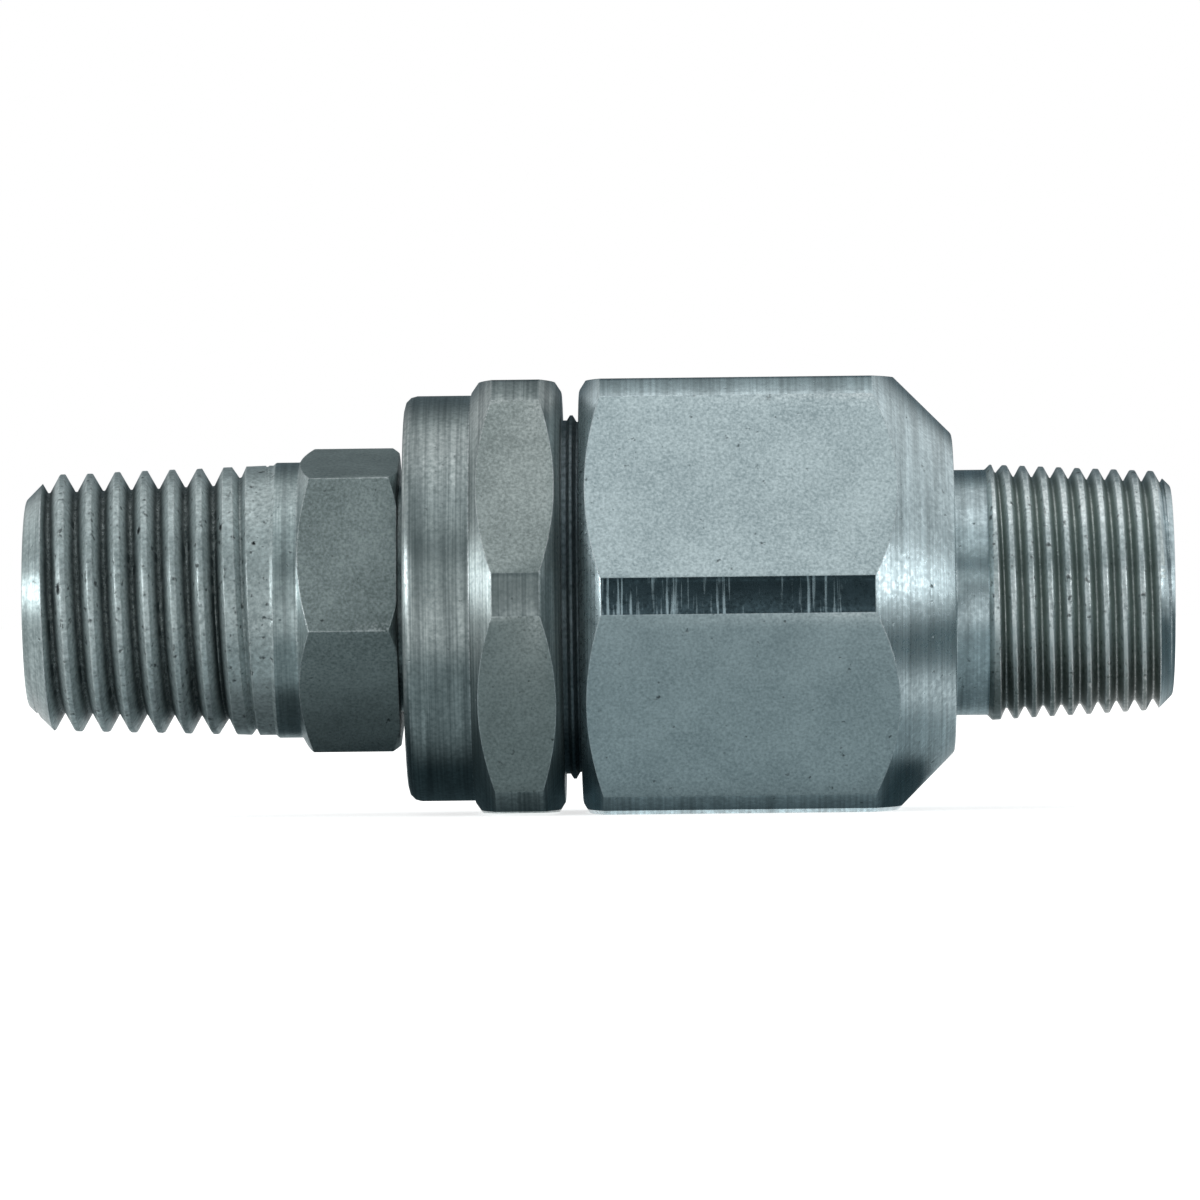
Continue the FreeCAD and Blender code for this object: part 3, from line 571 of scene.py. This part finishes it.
# A die-cut thread that has been screwed in and out: pale, rubbed crests with a few dirty pits, and
# roots nearly black with painted shade together with old oil.
stem_mesh.materials.append(bare_steel(
    "threaded_stem_steel", "#bccacb", "#8c999a", 0.46, grain=(0.22, 0.006), worn="#d3dddd", edge=0.09,
    dull=0.3, thread=(STEM_CREST, STEM_GROWTH, STEM_DEPTH, 0.55, "#3b4748"),
    pits=((1.95, -6.4, 0.7, 0.36), (1.4, -6.4, -0.6, 0.42), (1.3, -6.3, -1.3, 0.2),
          (6.0, -5.4, 3.65, 0.28), (10.25, -5.5, 3.75, 0.28), (11.95, -6.3, 2.93, 0.15))))
stem_mesh = cut_away(stem_mesh, thread_groove(
    crest=STEM_CREST, growth=STEM_GROWTH, depth=STEM_DEPTH, mouth=1.19, root=0.13, pitch=STEM_PITCH,
    turns=9.5, run_out=1.9, start_x=-STEM_LEAD, start_turn=311.3, inward=1))
wear_thread(stem_mesh, start=0.9, end=STEM_THREAD_END + 0.15, least_radius=5.0, depth=0.06)
finish_edges(stem_mesh)
stem = link_object("stem_steel", stem_mesh)
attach(stem, "stem")
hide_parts("stem")


# The gland nut: turned from hexagon bar, with a round collar in front of a short hexagon whose
# corners are chamfered on both sides. Its shank screws into the body and clamps the races.
NUT_START, NUT_END = 19.54, 33.58
COLLAR_RADIUS = 10.43
NUT_HEXAGON_START, NUT_HEXAGON_END = 22.97, 27.6
NUT_FLAT, NUT_CORNER, NUT_FACE = 11.05, 12.1774, 10.55
NUT_BORE, NUT_MOUTH = 5.85, 0.3
DUST_SEAL_START, DUST_SEAL_END, DUST_SEAL_FLOOR = 20.64, 22.34, 7.25
SHANK_RADIUS, SHANK_ROOT = 9.36, 9.1
nut_outline = [
    (NUT_START, NUT_BORE + NUT_MOUTH, 0.05), (NUT_START, COLLAR_RADIUS, 0.65),
    (NUT_HEXAGON_START, COLLAR_RADIUS, 0.05), (NUT_HEXAGON_START, NUT_FACE, 0.04),
    (NUT_HEXAGON_START + 1.1395, NUT_CORNER, 0.05), (NUT_HEXAGON_END - 1.0595, NUT_CORNER, 0.05),
    (NUT_HEXAGON_END, NUT_FACE, 0.06), (NUT_HEXAGON_END, SHANK_ROOT, 0.04), (27.86, SHANK_ROOT),
    (28.02, SHANK_RADIUS), (28.16, SHANK_RADIUS), (28.36, 9.02), (28.44, 9.02), (28.64, SHANK_RADIUS),
    (NUT_END - 0.5, SHANK_RADIUS), (NUT_END, SHANK_RADIUS - 0.5), (NUT_END, NUT_BORE),
    (DUST_SEAL_END, NUT_BORE), (DUST_SEAL_END, DUST_SEAL_FLOOR), (DUST_SEAL_START, DUST_SEAL_FLOOR),
    (DUST_SEAL_START, NUT_BORE), (NUT_START + NUT_MOUTH, NUT_BORE)]
bm = bmesh.new()
lathe(bm, nut_outline)
cut_flats(bm, NUT_FLAT, 0.7)
nut_mesh = finished_mesh("gland_nut_steel", bm)
# The shank behind the hexagon takes the third material, darkened by painted shade
for face in nut_mesh.polygons:
    radius = math.hypot(face.center.y, face.center.z)
    if face.center.x > (NUT_HEXAGON_END + 0.02) * MM and radius < (SHANK_RADIUS + 0.04) * MM:
        face.material_index = 2
finish_edges(nut_mesh)
# Turned steel, cut faster than the stem: greyer, with coarse, dark rings.
nut_mesh.materials.append(bare_steel(
    "turned_nut_steel", "#b3bdbd", "#8b9696", 0.36, grain=(0.22, 0.004), rings=(0.13, 0.008, 0.5)))
# The bar's own drawn skin: a plain mid grey, fine-grained and nearly matt.
nut_mesh.materials.append(bare_steel(
    "drawn_bar_nut_steel", "#9ca6a5", "#7a8483", 0.44, grain=(0.15, 0.009)))
# The screwed shank between the nut and the body: dark with painted shade, soft, with no bright edge.
nut_mesh.materials.append(bare_steel(
    "painted_shade_threaded_nut_steel", "#87949a", "#5f6b70", 0.5, grain=(0.25, 0.004), rings=(0.12, 0.004, 0.3),
    worn="#7d898a"))
gland_nut = link_object("gland_nut_steel", nut_mesh)
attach(gland_nut, "housing")
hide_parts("gland_nut")


# The body: turned from larger hexagon bar, bored for the nut, the races and the seal, and turned
# down at the far end to a cone, a shoulder, a neck and a fine tapered thread.
BODY_START, BODY_END = 28.5, 58.84
BODY_FLAT, BODY_CORNER, BODY_FACE = 11.1125, 12.3296, 10.6025
BODY_CHAMFER_END = 29.6093
SHOULDER, SHOULDER_RADIUS = 47.62, 8.1755
CONE_START = SHOULDER - (BODY_CORNER - SHOULDER_RADIUS)
BODY_CREST, BODY_GROWTH = 9.0545, -0.05
BODY_PITCH, BODY_DEPTH = 0.9407, 0.56
BODY_LEAD = 0.6535
BODY_THREAD_START, BODY_NECK_STEP = 49.58, 0.26
BODY_MOUTH = 0.78
SEAL_BORE, SEAL_BORE_END = 5.85, 46.43
RACE_BORE, RACES_START, RACES_END = 8.32, 33.88, 41.68
SHANK_BORE = SHANK_RADIUS + 0.05
start_crest = BODY_CREST + BODY_GROWTH * BODY_THREAD_START
mouth_crest = BODY_CREST + BODY_GROWTH * (BODY_END - BODY_MOUTH)
body_outline = [
    (BODY_START, SHANK_BORE + 0.4, 0.05), (BODY_START, BODY_FACE, 0.12),
    (BODY_CHAMFER_END, BODY_CORNER, 0.05), (CONE_START, BODY_CORNER, 0.06), (SHOULDER, SHOULDER_RADIUS, 0.12),
    (SHOULDER, start_crest - BODY_NECK_STEP, 0.1),
    (BODY_THREAD_START - BODY_NECK_STEP, start_crest - BODY_NECK_STEP, 0.05),
    (BODY_THREAD_START, start_crest, 0.03), (BODY_END - BODY_MOUTH, mouth_crest, 0.03),
    (BODY_END, mouth_crest - BODY_MOUTH, 0.08), (BODY_END, STEM_BORE, 0.12), (SEAL_BORE_END, STEM_BORE),
    (SEAL_BORE_END, SEAL_BORE), (RACES_END, SEAL_BORE), (RACES_END, RACE_BORE), (RACES_START, RACE_BORE),
    (RACES_START, SHANK_BORE), (BODY_START + 0.3, SHANK_BORE)]
bm = bmesh.new()
lathe(bm, body_outline)
cut_flats(bm, BODY_FLAT, 0)
body_mesh = finished_mesh("body_steel", bm)
# Turned steel, the brightest of the three pieces: silvery blue, with faint rings.
body_mesh.materials.append(bare_steel(
    "turned_body_steel", "#cbdde2", "#a9b9be", 0.29, grain=(0.25, 0.0015), rings=(0.14, 0.005, 0.3)))
# The bar's own drawn skin: pale blue grey, with a fine even grain.
body_mesh.materials.append(bare_steel(
    "drawn_bar_body_steel", "#bccacd", "#95a4a8", 0.42, grain=(0.15, 0.009)))
# The fine die-cut thread: pale crests whose edges are rubbed nearly white, wear together with a
# painted highlight, grey roots of painted shade together with old oil, and a darker underside.
body_mesh.materials.append(bare_steel(
    "threaded_body_steel", "#dde8e9", "#a3b0b1", 0.33, grain=(0.2, 0.006), worn="#fbfdfd", edge=0.07,
    dull=0.12, thread=(BODY_CREST, BODY_GROWTH, BODY_DEPTH, 0.34, "#83908d"), underside_darkening=0.8))
# The two corners level with the axis, one facing the lens: a dark base colour that is a painted
# reflection of the dark room round the lens, with pale scratches round the axis.
body_mesh.materials.append(bare_steel(
    "painted_dark_corner_body_steel", "#43545b", "#2a373c", 0.24, grain=(0.18, 0.004), worn="#6d7f85",
    scratch="#93a6ad"))
body_mesh = cut_away(body_mesh, thread_groove(
    crest=BODY_CREST, growth=BODY_GROWTH, depth=BODY_DEPTH, mouth=0.76, root=0.11, pitch=BODY_PITCH, turns=11,
    run_out=1.1, start_x=BODY_END + BODY_LEAD, start_turn=180, inward=-1))
wear_thread(body_mesh, start=BODY_THREAD_START - 0.18, end=BODY_END - 0.64, least_radius=5.0, depth=0.05)
# The corners level with the axis take the dark corner steel, a painted dark reflection
for face in body_mesh.polygons:
    spot = face.center / MM
    on_corner = BODY_CHAMFER_END + 0.04 < spot.x < CONE_START - 0.015
    if on_corner and math.hypot(spot.y, spot.z) > BODY_CORNER - 0.02 and abs(spot.z) < 2:
        face.material_index = 3
finish_edges(body_mesh)
body = link_object("body_steel", body_mesh)
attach(body, "housing")
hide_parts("body")


# The races: three hardened steel rings round the balls, ground to a bright finish. They stay as the
# construction has them, since nothing outside shows them.
# Hardened steel, ground: an even bright grey with rings as fine as hair.
ground_race_steel = bare_steel("ground_race_steel", "#c4c9ca", "#b2b8b9", 0.22, grain=(0.1, 0.0006),
                               rings=(0.05, 0.0006, 0.1))
for race in ("race_nut_side", "race_middle", "race_body_side"):
    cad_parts[race].data.materials[0] = ground_race_steel


# The balls: two full rows of loose bearing balls, polished like mirrors under a film of grease.
# Bearing steel, lapped and polished: a mirror with next to no grain.
polished_ball_steel = bare_steel("polished_ball_steel", "#dfe3e5", "#d3d8da", 0.09, grain=(0.4, 0.0001))
for name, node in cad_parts.items():
    if name.startswith("ball_"):
        node.data.materials[0] = polished_ball_steel


# The seals: black nitrile rubber, smooth from the mould and dulled by grease, and beside the
# pressure seal a stiff ring of white, waxy plastic.
def moulded(name, colour, mottled, roughness, depth):
    """A moulded ring's surface, with a fine orange-peel texture of a depth in millimetres."""
    material, tree, output = new_material(name)
    place = add_node(tree, "ShaderNodeTexCoord").outputs["Object"]
    peel = add_node(tree, "ShaderNodeTexNoise", {"Vector": place, "Scale": 1 / (0.25 * MM),
                                                 "Detail": 2.0}).outputs["Fac"]
    shade = add_node(tree, "ShaderNodeMix", {"Factor": peel, 6: linear(mottled), 7: linear(colour)},
                     data_type="RGBA").outputs[2]
    normal = add_node(tree, "ShaderNodeBump", {"Height": peel, "Distance": depth * MM}).outputs[0]
    surface = add_node(tree, "ShaderNodeBsdfPrincipled", {"Base Color": shade, "Roughness": roughness,
                                                          "Normal": normal})
    tree.links.new(surface.outputs[0], output.inputs["Surface"])
    return material


# Nitrile rubber, moulded: deep black with a soft sheen.
nitrile_rubber = moulded("black_nitrile_rubber", "#242424", "#191919", 0.45, 0.01)
for seal in ("pressure_seal", "dust_seal"):
    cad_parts[seal].data.materials[0] = nitrile_rubber
# Plastic of the low-friction kind, moulded: waxy, a little off white.
waxy_plastic = moulded("white_waxy_plastic", "#e9e8e2", "#dddcd4", 0.4, 0.005)
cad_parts["backup_ring"].data.materials[0] = waxy_plastic
